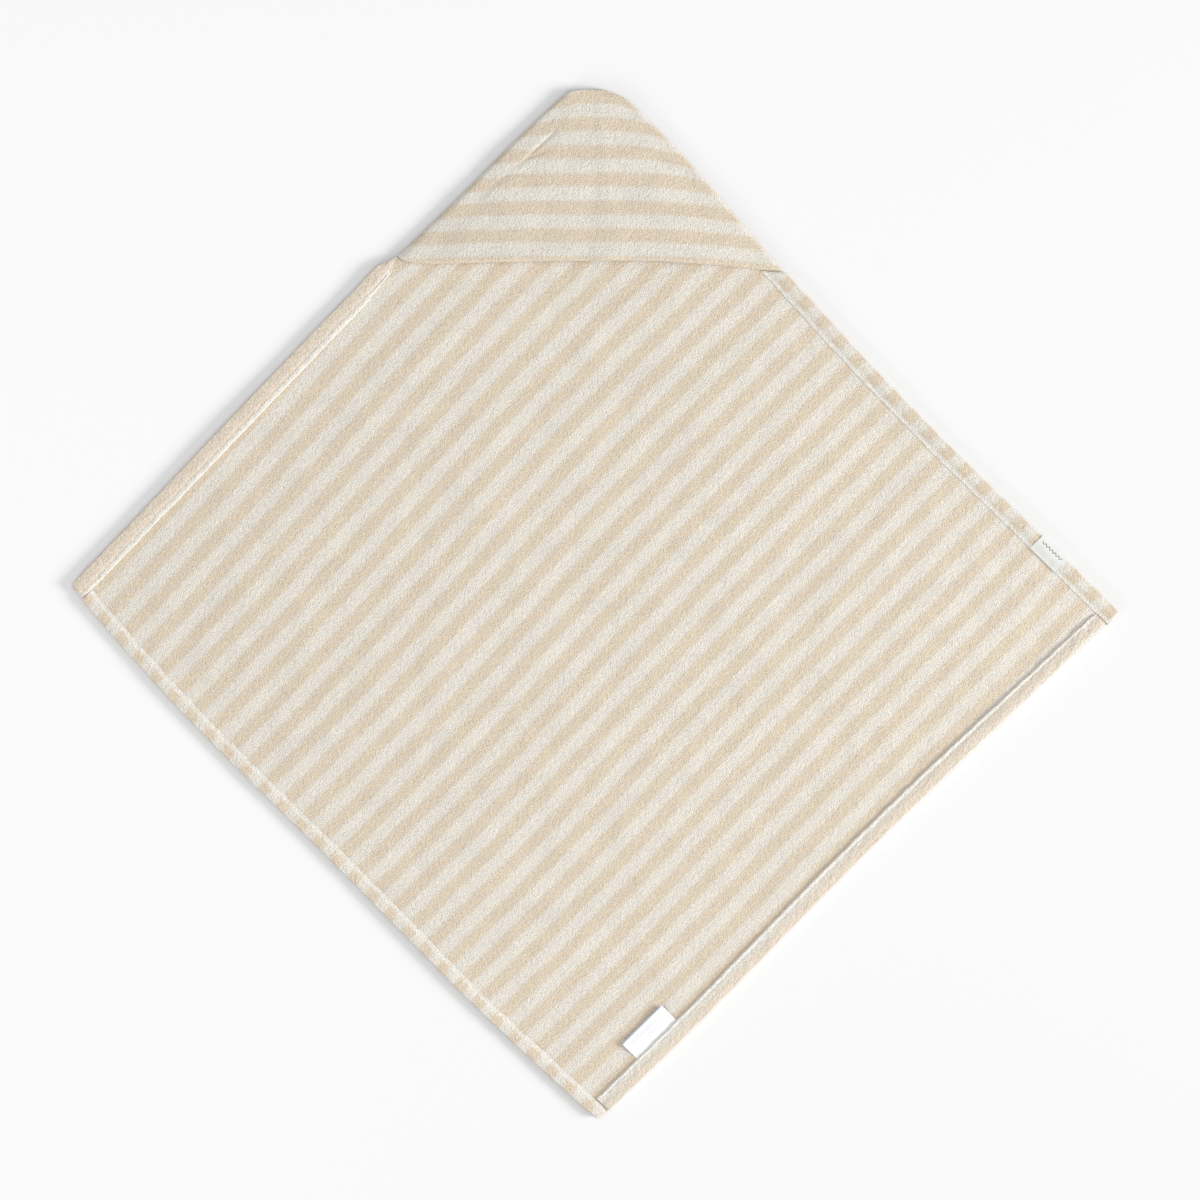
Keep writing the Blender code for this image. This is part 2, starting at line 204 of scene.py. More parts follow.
def side_ends(side):
    return [CORNERS[name] for name in SIDES[side]]


def outward(side):
    start, end = side_ends(side)
    run = (end - start) / side_length(side)
    return np.array([-run[1], run[0]])


def side_point(side, share):
    """Points of a side, as an array with x and y last."""
    share = np.asarray(share, float)[..., None]
    start, end = side_ends(side)
    bow = sum(size * np.sin(n * np.pi * share) for n, size in enumerate(BOWS[side], 1))
    return start + (end - start) * share + outward(side) * bow


def curve_at(points, fraction):
    """A Catmull-Rom curve through points, read at fractions of its length."""
    line = np.array([np.subtract(np.multiply(points[0], 2), points[1]), *points,
                     np.subtract(np.multiply(points[-1], 2), points[-2])])
    step = np.linspace(0, 1, 24, endpoint=False)[:, None]
    fine = []
    for a, b, c, d in zip(line, line[1:], line[2:], line[3:]):
        cubic = (c - a) * step + (a * 2 - b * 5 + c * 4 - d) * step ** 2
        fine.append(b + (cubic + (b * 3 - a - c * 3 + d) * step ** 3) / 2)
    fine = np.concatenate([*fine, line[-2:-1]])
    run = run_along(fine)
    return read_line(fine, run, np.clip(fraction, 0, 1) * run[-1])


def read_line(points, run, want):
    """A line's points at the distances want, where run holds the distance of each point."""
    return np.stack([np.interp(want, run, column) for column in np.transpose(points)], -1)


def run_along(points):
    """How far along a line each of its points is."""
    return np.concatenate([[0], np.cumsum(np.linalg.norm(np.diff(points, axis=0), axis=1))])


def share_near(side, point):
    start, end = side_ends(side)
    return float((np.array(point) - start) @ (end - start)) / side_length(side) ** 2


HOOD_LEFT_SHARE = share_near("upper_left", HOOD_LEFT_EDGE[0])
HOOD_RIGHT_SHARE = share_near("upper_right", HOOD_RIGHT_EDGE[0])
PULL_REACH = 0.035  # share of a side over which the hood's edge pulls the cloth in
SHOULDER = 0.030  # share of a side over which a hemmed side turns into the hood's edge
BULGE = (0.600, 0.022, 0.0012)  # the upper left side bulges before the hood: share, reach, size


def edge_pull(side, share):
    """How far the hood's edge lies from the square's side, 0 outside the hood."""
    if side == "upper_left":
        at, reach, size = BULGE
        inside = (share - HOOD_LEFT_SHARE) / (1 - HOOD_LEFT_SHARE)
        edge = curve_at([*HOOD_LEFT_EDGE, HOOD_TIP], inside)
        nearest = np.maximum(share, HOOD_LEFT_SHARE)
        ramp = smoothstep((share - HOOD_LEFT_SHARE) / SHOULDER + 1)
        bulge = size * np.exp(-((share - at) / reach) ** 2) * (1 - ramp)
    else:
        inside = 1 - share / HOOD_RIGHT_SHARE
        edge = curve_at([*HOOD_RIGHT_EDGE, HOOD_TIP], inside)
        nearest = np.minimum(share, HOOD_RIGHT_SHARE)
        ramp = smoothstep((HOOD_RIGHT_SHARE - share) / SHOULDER + 1)
        bulge = 0 * ramp
    return (edge - side_point(side, nearest)) * ramp[..., None] + outward(side) * bulge[..., None]


def towel_plan(s, t):
    """The plan of the cloth: four bowed sides, with the top corner pulled in to the hood."""
    s, t = np.asarray(s, float), np.asarray(t, float)
    a, b = s[..., None], t[..., None]
    sides = (
        (1 - b) * side_point("upper_left", s) + b * side_point("lower_right", 1 - s)
        + (1 - a) * side_point("lower_left", 1 - t) + a * side_point("upper_right", t)
    )
    square = (
        (1 - a) * (1 - b) * CORNERS["left"] + a * (1 - b) * CORNERS["top"]
        + (1 - a) * b * CORNERS["foot"] + a * b * CORNERS["right"]
    )
    near_left, near_right = np.exp(-(b / PULL_REACH) ** 2), np.exp(-((1 - a) / PULL_REACH) ** 2)
    pull = near_left * edge_pull("upper_left", s) + near_right * edge_pull("upper_right", t)
    tip = np.array(HOOD_TIP) - CORNERS["top"]
    return round_corners(sides - square + pull - near_left * near_right * tip)


def round_corners(plan):
    """Rounds the towel's three open corners: the square at each becomes a quarter circle."""
    plan = plan.copy()
    for before, after in (("lower_left", "upper_left"), ("upper_right", "lower_right"),
                          ("lower_right", "lower_left")):
        corner = CORNERS[SIDES[after][0]]
        back = (CORNERS[SIDES[before][0]] - corner) / side_length(before)
        ahead = (CORNERS[SIDES[after][1]] - corner) / side_length(after)
        axes = np.stack([back, ahead])
        left = 1 - ((plan - corner) @ np.linalg.inv(axes)) / CORNER_ROUND
        near = (left > 0).all(-1)
        u, v = np.clip(left[near], 0, 1.2).T
        round_u, round_v = u * np.sqrt(1 - v * v / 2), v * np.sqrt(1 - u * u / 2)
        plan[near] = corner + CORNER_ROUND * (1 - np.stack([round_u, round_v], -1)) @ axes
    return plan


def stripe_metres(s, t):
    """The cloth's length across the stripes: beige stripes are centred on whole periods."""
    one, across, across2, along, along2, mixed = STRIPE_COUNT
    count = one + across * t + across2 * t * t + along * s + along2 * s * s + mixed * s * t
    return count * STRIPE


def lift(x, y):
    """How far the underside of the cloth stands off the surface it lies on."""
    waves = 0.0009 * (1 + soft_noise(x, y, 0.16, 11))
    ripple = 0.0004 * (1 + soft_noise(x, y, 0.055, 12))
    return waves + ripple


# Meshes


def linked(name, data):
    made = bpy.data.objects.new(name, data)
    bpy.context.scene.collection.objects.link(made)
    return made


def mesh_object(name, points, faces, uv):
    """An object from arrays: points, four-cornered faces and a UV for each point."""
    mesh = bpy.data.meshes.new(name)
    mesh.vertices.add(len(points))
    mesh.vertices.foreach_set("co", np.asarray(points, np.float32).ravel())
    mesh.loops.add(faces.size)
    mesh.loops.foreach_set("vertex_index", faces.astype(np.int32).ravel())
    mesh.polygons.add(len(faces))
    mesh.polygons.foreach_set("loop_start", np.arange(0, faces.size, faces.shape[1], dtype=np.int32))
    layer = mesh.uv_layers.new(name="cloth")
    layer.data.foreach_set("uv", np.asarray(uv, np.float32)[faces.ravel()].ravel())
    mesh.update(calc_edges=True)
    mesh.shade_smooth()
    return linked(name, mesh)


def grid_faces(index):
    """Four-cornered faces of a grid of point numbers."""
    return np.stack([index[:-1, :-1], index[1:, :-1], index[1:, 1:], index[:-1, 1:]], -1).reshape(-1, 4)


def shell(name, plan, top, bottom, uv):
    """A closed layer on a grid of plan points. Its top and bottom share the rim's points."""
    rows, columns = top.shape
    upper = np.arange(rows * columns).reshape(rows, columns)
    lower = upper.copy()
    inner = (rows - 2) * (columns - 2)
    lower[1:-1, 1:-1] = rows * columns + np.arange(inner).reshape(rows - 2, columns - 2)
    points = np.concatenate([
        np.dstack([plan, top]).reshape(-1, 3),
        np.dstack([plan, bottom])[1:-1, 1:-1].reshape(-1, 3),
    ])
    uvs = np.concatenate([uv.reshape(-1, 2), uv[1:-1, 1:-1].reshape(-1, 2)])
    faces = np.concatenate([grid_faces(upper), grid_faces(lower)[:, ::-1]])
    made = mesh_object(name, points, faces, uvs)
    outward_faces(made)
    return made


def outward_faces(piece):
    """Turns a closed piece's faces so that they point out."""
    made = bmesh.new()
    made.from_mesh(piece.data)
    bmesh.ops.recalc_face_normals(made, faces=made.faces)
    made.to_mesh(piece.data)
    made.free()


def tube(name, rings, uv, place=None):
    """A closed skin over rings of points (stations, ring, xyz), with its two ends filled.

    uv has one more column than rings, so that it doesn't jump where the ring closes. place,
    if given, is a second UV map: the distance in from the seam and from the inner edge.
    """
    stations, count = rings.shape[:2]
    index = np.arange(stations * count).reshape(stations, count)
    closed = np.concatenate([index, index[:, :1]], 1)
    faces = grid_faces(closed)
    piece = mesh_object(name, rings.reshape(-1, 3), faces, uv[:, :count].reshape(-1, 2))
    mesh = piece.data
    for layer, values in (("cloth", uv), ("place", place)):
        if values is None:
            continue
        after = np.concatenate([values[:, 1:], values[:, -1:]], 1)
        corners = [values[:-1, :count], values[1:, :count], after[1:, :count], after[:-1, :count]]
        if layer not in mesh.uv_layers:
            mesh.uv_layers.new(name=layer)
        mesh.uv_layers[layer].data.foreach_set("uv", np.stack(corners, 2).astype(np.float32).ravel())
    made = bmesh.new()
    made.from_mesh(mesh)
    rims = [edge for edge in made.edges if edge.is_boundary]
    for edge in rims:
        edge.smooth = False
    for cap in bmesh.ops.holes_fill(made, edges=rims, sides=0)["faces"]:
        cap.smooth = True
    bmesh.ops.recalc_face_normals(made, faces=made.faces)
    made.to_mesh(mesh)
    made.free()
    return piece


def graded(length, first=0.00012, cell=CELL):
    """Shares of a length whose spacing grows from both ends up to about cell."""
    ratio = 1.9
    steps = [0.0, first]
    while (steps[-1] - steps[-2]) * ratio < cell:
        steps.append(steps[-1] + (steps[-1] - steps[-2]) * ratio)
    middle = np.linspace(steps[-1], length - steps[-1], round((length - 2 * steps[-1]) / cell) + 1)
    ends = np.array(steps[:-1])
    return np.concatenate([ends, middle, length - ends[::-1]]) / length


# Materials


class Recipe:
    """A material under construction: add() makes a node and links or sets its inputs."""

    def __init__(self, name):
        self.material = bpy.data.materials.new(name)
        self.material.use_nodes = True
        self.tree = self.material.node_tree
        self.shader = self.tree.nodes["Principled BSDF"]

    def put(self, socket, value):
        if isinstance(value, bpy.types.NodeSocket):
            self.tree.links.new(value, socket)
        else:
            socket.default_value = value

    def add(self, kind, output=0, settings=None, **inputs):
        node = self.tree.nodes.new("ShaderNode" + kind)
        for name, value in (settings or {}).items():
            setattr(node, name, value)
        for name, value in inputs.items():
            key = int(name[1:]) if name[0] == "i" and name[1:].isdigit() else name.replace("_", " ")
            self.put(node.inputs[key], value)
        return node.outputs[output]

    def calc(self, operation, a, b=0.0):
        return self.add("Math", settings={"operation": operation}, i0=a, i1=b)

    def times(self, a, b):
        return self.calc("MULTIPLY", a, b)

    def plus(self, a, b):
        return self.calc("ADD", a, b)

    def uv(self, layer="cloth"):
        return self.add("UVMap", settings={"uv_map": layer})

    def split(self, vector):
        """The first two parts of a vector."""
        parts = self.add("SeparateXYZ", Vector=vector)
        return parts, parts.node.outputs[1]

    def band(self, value, low, high, soft=0.0002):
        """1 between low and high, 0 outside."""
        rise = self.ramp(value, low - soft, low + soft)
        return self.times(rise, self.ramp(value, high - soft, high + soft, 1.0, 0.0))

    def ramp(self, value, low, high, to_low=0.0, to_high=1.0, smooth=True):
        kind = {"interpolation_type": "SMOOTHSTEP" if smooth else "LINEAR"}
        return self.add("MapRange", settings=kind, Value=value, From_Min=low, From_Max=high,
                        To_Min=to_low, To_Max=to_high)

    def mix(self, factor, a, b, blend="MIX"):
        kind = {"data_type": "RGBA", "blend_type": blend}
        return self.add("Mix", output=2, settings=kind, i0=factor, i6=a, i7=b)

    def noise(self, vector, size, detail=2.0, roughness=0.5):
        return self.add("TexNoise", Vector=vector, Scale=1 / size, Detail=detail, Roughness=roughness)

    def finish(self, color, height, distance, roughness, sheen):
        self.put(self.shader.inputs["Base Color"], color)
        normal = self.add("Bump", Strength=1.0, Distance=distance, Height=height)
        self.put(self.shader.inputs["Normal"], normal)
        self.shader.inputs["Roughness"].default_value = roughness
        self.shader.inputs["Sheen Weight"].default_value = sheen
        self.shader.inputs["Sheen Roughness"].default_value = 0.6
        self.shader.inputs["Specular IOR Level"].default_value = 0.2
        return self.material


BEIGE = (0.731, 0.618, 0.484, 1.0)
CREAM = (0.792, 0.740, 0.663, 1.0)
HEM_BEIGE = (0.745, 0.640, 0.525, 1.0)
HEM_CREAM = (0.825, 0.778, 0.704, 1.0)
FAINT_BEIGE = (0.775, 0.675, 0.560, 1.0)
FAINT_CREAM = (0.850, 0.798, 0.720, 1.0)
# Partly the paler pile along a hem's seam and inner edge, partly a painted highlight on that raised
# edge and over its shade line
PALE_PILE_AND_HIGHLIGHT = (0.868, 0.835, 0.778, 1.0)


LOOP = 0.0013  # across one loop of the pile
SOFT = 0.085  # half the width of a stripe's edge, as a share of two stripes


def terry(name, beige, cream, pale=None):
    """Looped cotton: stripes with ragged edges, loops with painted shade between them, clumps of pile
    and faint patches.

    pale, if given, adds a light band to a hem: "seam" along its stitching or "lip" along
    its inner edge. The band is partly paler pile and partly a painted highlight that
    lightens the shade at the hem's raised inner edge.
    """
    recipe = Recipe(name)
    cloth = recipe.uv()
    across = recipe.add("SeparateXYZ", Vector=cloth)
    ragged = recipe.noise(cloth, 0.0024, detail=3.0)
    drift = recipe.noise(cloth, 0.045, detail=1.0)
    count = recipe.calc("DIVIDE", across, STRIPE)
    for noise, most in ((ragged, 0.10), (drift, 0.045)):
        count = recipe.plus(count, recipe.ramp(noise, 0.0, 1.0, -most, most, smooth=False))
    from_middle = recipe.calc("PINGPONG", count, 0.5)
    creamy = recipe.ramp(from_middle, 0.25 - SOFT, 0.25 + SOFT)
    cells = recipe.add("TexVoronoi", settings={"feature": "F1"}, Vector=cloth, Scale=1 / LOOP)
    grain = recipe.noise(cloth, 0.0018, detail=2.0, roughness=0.65)
    clumps = recipe.noise(cloth, 0.0042, detail=2.0)
    patches = recipe.noise(cloth, 0.030, detail=2.0)
    tint = recipe.noise(cloth, 0.0070, detail=3.0, roughness=0.7)
    color = recipe.mix(creamy, beige, cream)
    # The pale hem band: partly paler pile, partly painted highlight
    if pale:
        color = recipe.mix(pale_band(recipe, pale), color, PALE_PILE_AND_HIGHLIGHT)
    # Painted shade in the gaps between the pile's loops
    loop_gap_shade = recipe.ramp(cells, 0.25, 0.85, 1.0, 0.88)
    shade = loop_gap_shade
    for noise, *shades in ((clumps, 0.25, 0.75, 0.955, 1.035), (grain, 0.25, 0.75, 0.90, 1.08),
                           (patches, 0.3, 0.7, 0.975, 1.02)):
        shade = recipe.times(shade, recipe.ramp(noise, *shades))
    tone = recipe.add("CombineColor", i0=shade, i1=shade, i2=shade)
    color = recipe.mix(1.0, color, tone, blend="MULTIPLY")
    warmth = recipe.mix(recipe.ramp(tint, 0.3, 0.7), (1.0, 0.985, 0.985, 1), (0.99, 1.0, 0.965, 1))
    color = recipe.mix(1.0, color, warmth, blend="MULTIPLY")
    height = recipe.times(recipe.ramp(cells, 0.0, 0.8, 1.0, 0.0), 0.45)
    for noise, share in ((clumps, 0.9), (grain, 0.7)):
        height = recipe.plus(height, recipe.times(noise, share))
    return recipe.finish(color, height, 0.0010, 0.95, 0.25)


def pale_band(recipe, kind):
    """How much paler a hem is painted, from its second UV map, broken up along its length: partly paler
    pile, partly a painted highlight on and beside its inner edge.
    """
    from_seam, from_lip = recipe.split(recipe.uv("place"))
    if kind == "seam":
        # The seam band runs on past the hem's inner edge, where it is a painted highlight over the
        # edge's shade line
        strength = recipe.band(from_seam, -0.0020, 0.0040, soft=0.0010)
    else:
        # Painted highlight along the raised inner edge, partly paler pile
        strength = recipe.ramp(from_lip, 0.0040, 0.0062, 0.75, 0.0)
    patchy = recipe.noise(recipe.uv(), 0.0060, detail=2.0)
    return recipe.times(strength, recipe.ramp(patchy, 0.3, 0.65, 0.35, 0.95))


def thread_material():
    """Twisted cotton thread: fine slanting plies."""
    recipe = Recipe("thread")
    cloth = recipe.uv()
    plies = recipe.add("TexWave", settings={"bands_direction": "DIAGONAL"}, Vector=cloth,
                       Scale=900.0, Distortion=0.5)
    wear = recipe.noise(cloth, 0.012)
    color = recipe.mix(plies, (0.80, 0.765, 0.70, 1), (0.88, 0.86, 0.81, 1))
    color = recipe.mix(recipe.ramp(wear, 0.35, 0.75, 0.0, 0.25), color, (0.88, 0.82, 0.72, 1))
    return recipe.finish(color, plies, 0.0001, 0.7, 0.15)


def tag_material():
    """Woven tape with a fine rib and a plain zigzag."""
    recipe = Recipe("woven_tag")
    cloth = recipe.uv()
    along, inward = recipe.split(cloth)
    ribs = recipe.add("TexWave", settings={"bands_direction": "X"}, Vector=cloth, Scale=620.0)
    weft = recipe.add("TexWave", settings={"bands_direction": "Y"}, Vector=cloth, Scale=480.0)
    weave = recipe.times(ribs, weft)
    color = recipe.mix(weave, (0.80, 0.805, 0.755, 1), (0.87, 0.875, 0.83, 1))
    zigzag = recipe.calc("PINGPONG", along, 0.0022)
    height = recipe.calc("SUBTRACT", recipe.calc("SUBTRACT", inward, 0.0038), zigzag)
    line = recipe.band(height, -0.0006, 0.0006)
    mark = recipe.times(line, recipe.band(along, 0.0045, 0.0311))
    color = recipe.mix(recipe.times(mark, 0.85), color, (0.13, 0.14, 0.14, 1))
    return recipe.finish(color, weave, 0.0002, 0.75, 0.1)


def page_material(name, color, root, marks):
    """Satin care-label tape: a fine weave, its root's colour, and plain rules as marks says."""
    recipe = Recipe(name)
    cloth = recipe.uv()
    along, inward = recipe.split(cloth)
    weave = recipe.add("TexWave", settings={"bands_direction": "X"}, Vector=cloth, Scale=900.0)
    haze = recipe.noise(cloth, 0.010)
    shade = tuple(part * 0.94 for part in color[:3]) + (1.0,)
    tint = recipe.mix(recipe.ramp(haze, 0.3, 0.7, 0.0, 0.6), color, shade)
    tint = recipe.mix(recipe.ramp(inward, 0.0040, 0.0060, 1.0, 0.0), tint, root)
    for low, start, end, strength in marks:
        row = recipe.band(inward, low, low + 0.0006)
        rule = recipe.times(row, recipe.band(along, start, end))
        tint = recipe.mix(recipe.times(rule, strength), tint, (0.45, 0.45, 0.50, 1))
    return recipe.finish(tint, weave, 0.00008, 0.45, 0.1)


TERRY = terry("terry_stripes", BEIGE, CREAM)
HEM_TERRY = {
    "upper_left": terry("terry_hem", HEM_BEIGE, HEM_CREAM, pale="lip"),
    "upper_right": terry("terry_hem_across", BEIGE, CREAM, pale="seam"),
    "lower_right": terry("terry_hem_faint", FAINT_BEIGE, FAINT_CREAM, pale="lip"),
}
HEM_TERRY["lower_left"] = HEM_TERRY["upper_right"]
MOUTH_TERRY = terry("terry_mouth_hem", HEM_BEIGE, HEM_CREAM)
THREAD = thread_material()
TAG = tag_material()
PAGE_RULES = [
    (0.0062, 0.012, 0.026, 0.4), (0.0080, 0.014, 0.034, 0.45), (0.0098, 0.020, 0.031, 0.4),
    (0.0140, 0.009, 0.049, 0.65), (0.0160, 0.010, 0.0485, 0.65),
]
PAGE_WHITE = (0.93, 0.935, 0.95, 1.0)
FRONT_PAGE = page_material("care_page_front", PAGE_WHITE, PAGE_WHITE, PAGE_RULES)
BACK_PAGE = page_material("care_page_back", (0.70, 0.70, 0.80, 1), PAGE_WHITE, [])


def dress(piece, material):
    piece.data.materials.clear()
    piece.data.materials.append(material)


def bend_at(piece, body):
    """Bakes the transform of a piece of the towel, between its middle and one of its corners, into its
    mesh.
    """
    joint, way, half = FOLDS[body]
    at, way = JOINT_AT[joint], Vector((*way, 0.0))
    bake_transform(piece)


# The towel's cloth


def cloth_surface():
    """The whole cloth as one closed shell, before it is parted at the folds."""
    low_s, low_t = EDGE_INSET / SIDE_ALONG, EDGE_INSET / SIDE_ACROSS
    shares_s = low_s + graded(SIDE_ALONG - 2 * EDGE_INSET) * (1 - 2 * low_s)
    shares_t = low_t + graded(SIDE_ACROSS - 2 * EDGE_INSET) * (1 - 2 * low_t)
    s, t = np.meshgrid(shares_s, shares_t, indexing="ij")
    plan = towel_plan(s, t)
    x, y = plan[..., 0], plan[..., 1]
    to_edge = np.minimum(
        (np.minimum(s, 1 - s) - low_s) * SIDE_ALONG, (np.minimum(t, 1 - t) - low_t) * SIDE_ACROSS
    )
    round_edge = rounded(to_edge, RIM)
    open_cloth = smoothstep((to_edge - 0.020) / 0.020)
    relief = (
        0.00050 * soft_noise(x, y, 0.030, 21) + 0.00030 * soft_noise(x, y, 0.014, 22)
        + 0.00020 * soft_noise(x, y, 0.0075, 23)
    )
    half = (CLOTH - CLOTH_LOW) / 2
    middle = lift(x, y) + CLOTH_LOW + half
    top = middle + half * round_edge + relief * open_cloth
    bottom = middle - half * round_edge
    uv = np.dstack([stripe_metres(s, t), s * SIDE_ALONG])
    return shell("towel_cloth", plan, top, bottom, uv)


def part_cloth(whole):
    """Cuts the cloth straight across at the start of each zone round a corner's joint."""
    surface = bmesh.new()
    surface.from_mesh(whole.data)
    cuts = {}
    for body, (joint, way, half) in FOLDS.items():
        way = Vector((*way, 0.0))
        at = JOINT_AT[joint] - way * half
        cuts[body] = (at, way)
        geometry = surface.verts[:] + surface.edges[:] + surface.faces[:]
        bmesh.ops.bisect_plane(surface, geom=geometry, plane_co=at, plane_no=way, dist=1e-6)
    surface.normal_update()
    kept_normal = surface.verts.layers.float_vector.new("kept_normal")
    for point in surface.verts:
        point[kept_normal] = point.normal
    region = surface.faces.layers.int.new("region")
    for face in surface.faces:
        middle = face.calc_center_median()
        beyond = [n for n, (at, way) in enumerate(cuts.values(), 1) if (middle - at).dot(way) > 0]
        face[region] = beyond[0] if beyond else 0
    pieces = {"middle": cut_piece(surface, 0, "middle", cuts.values())}
    for number, (body, cut) in enumerate(cuts.items(), 1):
        pieces[body] = cut_piece(surface, number, body, [cut])
    surface.free()
    bpy.data.objects.remove(whole)
    return pieces


def cut_piece(surface, number, body, cuts):
    """One panel of the parted cloth, closed at its cuts and shaded as part of the whole."""
    panel = surface.copy()
    region = panel.faces.layers.int["region"]
    others = [face for face in panel.faces if face[region] != number]
    bmesh.ops.delete(panel, geom=others, context="FACES")
    for at, way in cuts:
        for face in cut_wall(panel, at, way):
            face[region] = -1
            face.normal_update()
            if (face.normal.dot(way) > 0) != (number == 0):
                face.normal_flip()
    mesh = bpy.data.meshes.new(f"towel_cloth_{body}")
    panel.to_mesh(mesh)
    panel.free()
    mesh.shade_smooth()
    keep_normals(mesh)
    return linked(mesh.name, mesh)


def cut_wall(panel, at, way):
    """Faces that close a straight cut, between the cloth's top and its underside."""
    kept_normal = panel.verts.layers.float_vector["kept_normal"]
    run = Vector((way.y, -way.x, 0.0))
    open_points = {point for edge in panel.edges if edge.is_boundary for point in edge.verts}
    points = [point for point in open_points if abs((point.co - at).dot(way)) < 1e-5]
    first, *inner, last = sorted(points, key=lambda point: point.co.dot(run))
    top = [first, *(point for point in inner if point[kept_normal].z > 0), last]
    low = [first, *(point for point in inner if point[kept_normal].z <= 0), last]
    corners = list(zip(top, top[1:], low[1:], low))
    return [panel.faces.new(dict.fromkeys(corner)) for corner in corners]


def keep_normals(mesh):
    """Gives the surface the whole cloth's normals, and the walls at the cuts their own."""
    normals = np.zeros(len(mesh.vertices) * 3)
    mesh.attributes["kept_normal"].data.foreach_get("vector", normals)
    corners = np.zeros(len(mesh.loops), int)
    mesh.loops.foreach_get("vertex_index", corners)
    loop_normals = normals.reshape(-1, 3)[corners]
    walls = np.zeros(len(mesh.polygons), int)
    mesh.attributes["region"].data.foreach_get("value", walls)
    for number in np.flatnonzero(walls == -1):
        face = mesh.polygons[number]
        face.use_smooth = False
        loop_normals[face.loop_start:face.loop_start + face.loop_total] = face.normal
    mesh.attributes.remove(mesh.attributes["kept_normal"])
    mesh.attributes.remove(mesh.attributes["region"])
    mesh.normals_split_custom_set(loop_normals.tolist())


def plan_area(piece):
    """The flat area of a panel, and the size of the straight box round it."""
    points = np.array([point.co for point in piece.data.vertices])
    size = points.max(0) - points.min(0)
    surface = sum(face.area for face in piece.data.polygons) / 2
    return surface, (float(size[0]), float(size[1]))


def towel_cloth():
    panels = part_cloth(cloth_surface())
    for body, piece in panels.items():
        dress(piece, TERRY)
        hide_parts(f"towel_{body}")
        if body == "middle":
            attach(piece, "towel_middle")
        else:
            bend_at(piece, body)
        area, flat = plan_area(piece)
        area = min(area, flat[0] * flat[1])


# Hems and stitching


def hem_width(side, share):
    hem = HEMS[side]
    width = hem["ends"] + (hem["middle"] - hem["ends"]) * np.sin(np.pi * share) ** HEM_FULLNESS
    if side == "upper_left":
        at, reach, size = NARROWING
        width = width - size * smoothstep((share - at) / reach)
    return width


def stitch_reach(side, share):
    """How far in from the edge the stitching runs."""
    return np.minimum(HEMS[side]["stitch"], 0.84 * hem_width(side, share))


def hem_reach(side, low, high):
    """A hem's ends: one hem of each pair runs through to the corner, the other butts on it."""
    length = side_length(side)
    if side == "lower_right":
        low = max(low, (HEMS["upper_right"]["ends"] + BUTT) / length)
        high = min(high, 1 - (HEMS["lower_left"]["ends"] + BUTT) / length)
    if side == "lower_left":
        high = min(high, 1 - (HEMS["upper_left"]["ends"] + BUTT) / length)
    return low, high


def hem_top(reach, width, stitch, flush):
    """Height of a hem's top, which dips at the stitching and comes down to its inner edge."""
    puff = 0.00035 * np.sin(np.pi * np.clip(reach / stitch, 0, 1))
    puff += 0.00030 * np.sin(np.pi * np.clip((reach - stitch) / (width - stitch), 0, 1))
    groove = 0.0006 * (1 - flush) * np.exp(-((reach - stitch) / 0.0010) ** 2)
    drop = HEM_DROP * flush * smoothstep(reach / width * 1.5 - 0.5)
    return np.maximum(HEM_TOP + puff * (1 - 0.5 * flush) - groove - drop, 0.0037 - 0.0006 * flush)


def hem_profile(width, stitch, flush):
    """Section of a hem: distance in from the outline and height, round the fold and back.

    width and stitch are arrays, one value for each station; the result has a row for each.
    flush lowers the inner edge, from 0 for a full step to 1 for a flat one.
    """
    column = np.ones_like(width)
    in_middle, in_half, up_middle, up_half = WRAP
    rows = [(column * (in_middle - in_half * math.cos(a)), column * (up_middle + up_half * math.sin(a)))
            for a in np.radians(np.linspace(-90, 90, 9))]
    drop = HEM_DROP * flush
    for share in np.linspace(0.0, 1.0, 30)[1:-1]:
        reach = in_middle + (width - 0.0016) * (0.5 - 0.5 * math.cos(math.pi * share))
        rows.append((reach, hem_top(reach, width, stitch, flush)))
    lip_middle, lip_half = 0.00475 - drop / 2 - 0.0006 * flush, 0.00145 - drop / 2
    for a in np.radians(np.linspace(90, -90, 7)):
        reach = width - 0.0010 + 0.0010 * math.cos(a)
        rows.append((reach, column * (lip_middle + lip_half * math.sin(a))))
    for share in (0.75, 0.5, 0.25):
        rows.append((width * share, column * HEM_UNDER))
    for reach, height in ((0.0012, HEM_UNDER), (0.00082, 0.0026), (0.00072, 0.0014)):
        rows.append((column * reach, column * height))
    return np.stack([np.stack(row, -1) for row in rows], 1)


